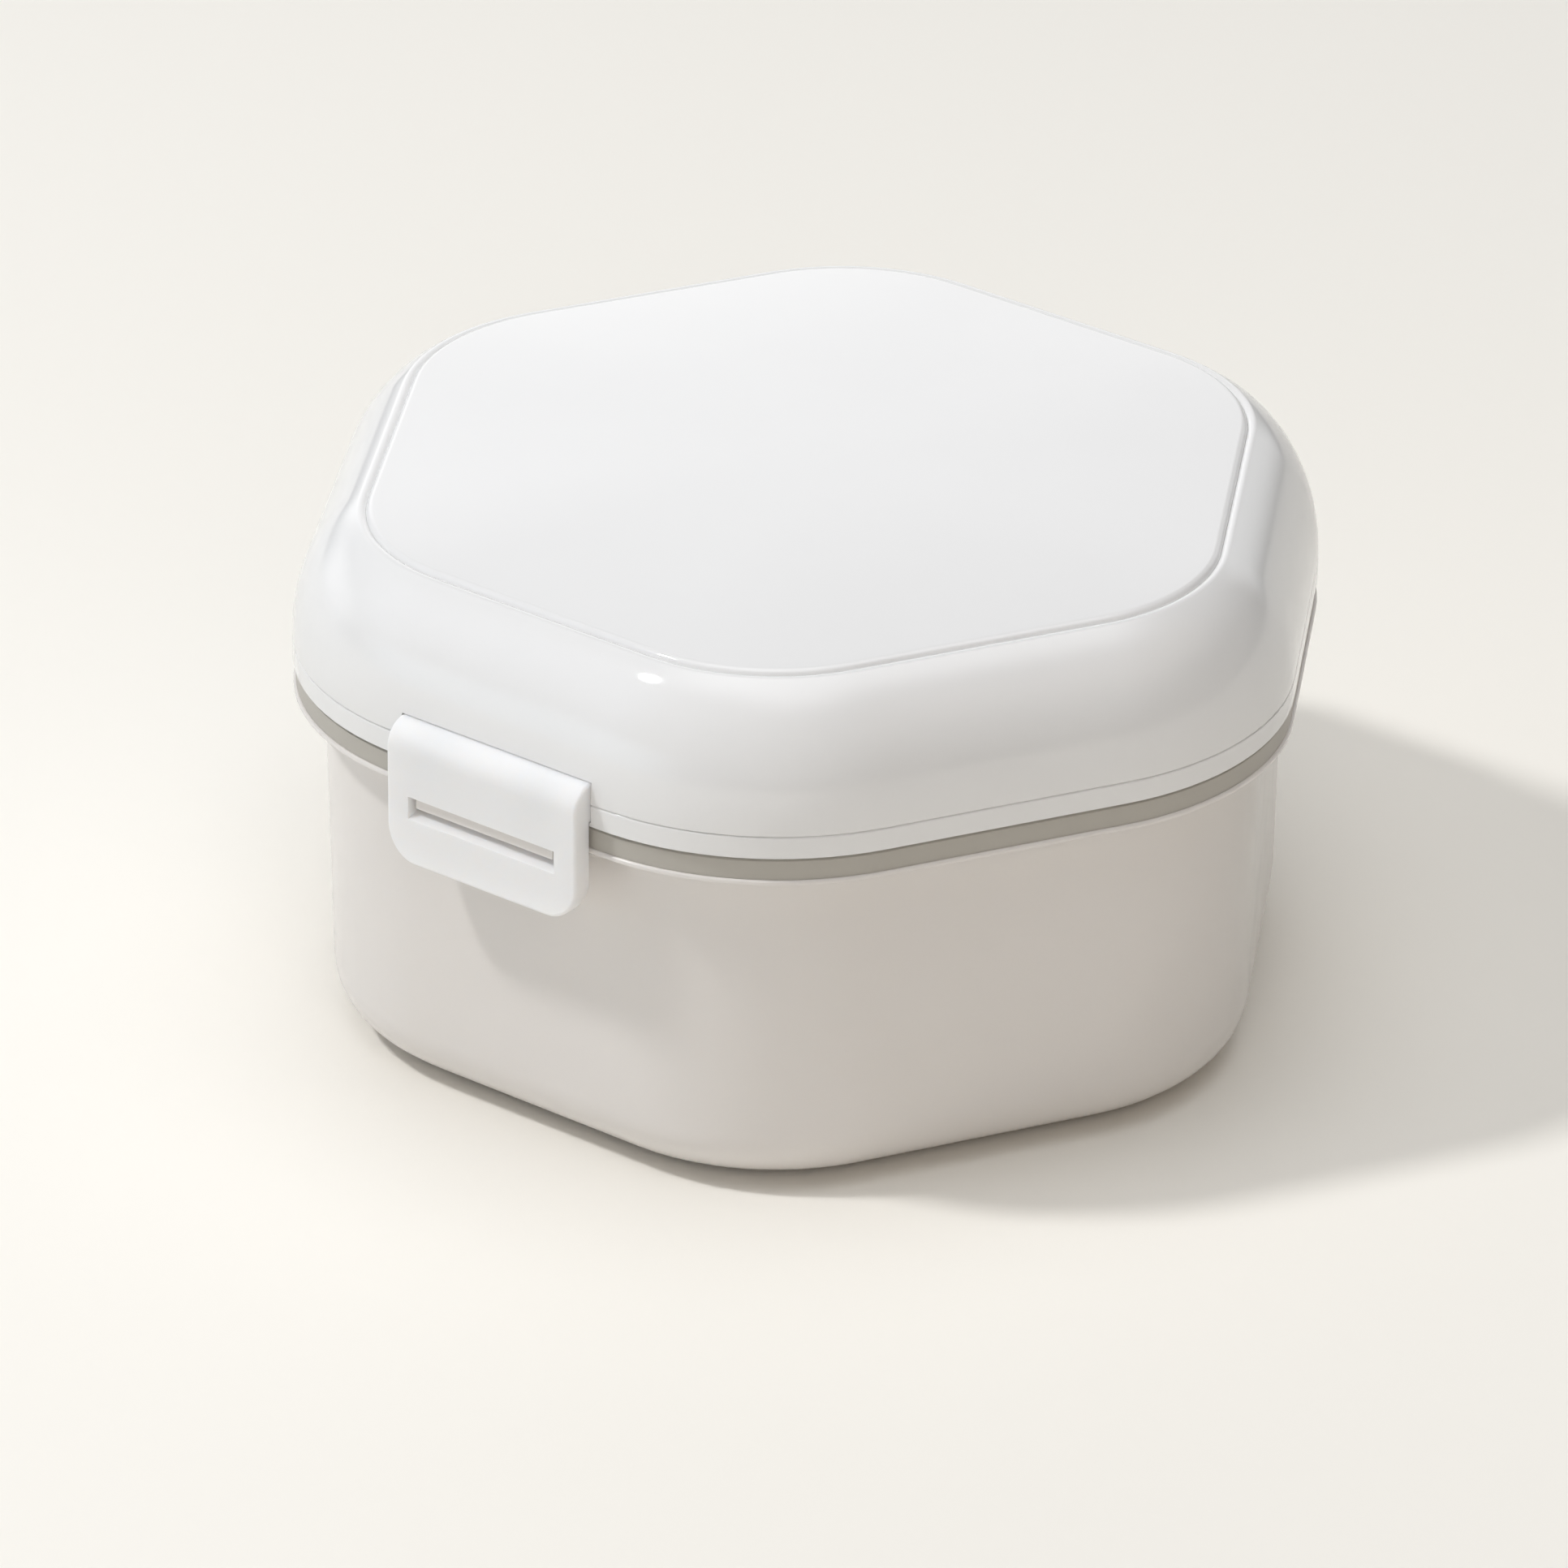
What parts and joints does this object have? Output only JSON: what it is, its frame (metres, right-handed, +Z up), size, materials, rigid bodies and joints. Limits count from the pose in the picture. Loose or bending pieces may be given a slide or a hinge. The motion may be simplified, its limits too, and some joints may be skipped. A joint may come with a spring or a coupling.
{
  "type": "retainer cleaning case",
  "caption": "Rounded hexagonal soaking case with a domed hinged lid, soft seal, snap latch and lift-out strainer basket",
  "frame": {"origin": "on the floor plane, on the vertical axis of the hexagonal cup", "axes": "+Z is up, the snap latch faces -Y, the lid hinge is at +Y, +X runs along the hinge"},
  "size_m": [0.096, 0.0969, 0.0515],
  "materials": {
    "base_plastic": "smooth moulded, soft gloss",
    "lid_plastic": "smooth moulded gloss",
    "latch_plastic": "satin moulded",
    "basket_plastic": "satin moulded",
    "soft_grey": "matte moulded silicone",
    "steel": "drawn stainless wire"
  },
  "bodies": {
    "base": {"base_shell": "base_plastic", "foot_ring": "soft_grey", "hinge_pin": "steel"},
    "basket": {"strainer_basket": "basket_plastic"},
    "lid": {"seal_ring": "soft_grey", "lid_liner": "lid_plastic", "lid_shell": "lid_plastic", "lid_top_panel": "lid_plastic", "latch_pin": "steel"},
    "latch": {"latch": "latch_plastic"}
  },
  "joints": [
    {"name": "lid_hinge", "type": "hinge", "parent": "base", "child": "lid", "pos_m": [0, 0.0474, 0.03457], "axis": [-1, 0, 0], "range_deg": [0, 115]},
    {"name": "latch_hinge", "type": "hinge", "parent": "lid", "child": "latch", "pos_m": [0, -0.04485, 0.0376], "axis": [-1, 0, 0], "range_deg": [0, 100]},
    {"name": "basket_lift", "type": "slide", "parent": "base", "child": "basket", "axis": [0, 0, 1], "range_m": [0, 0.01]}
  ]
}
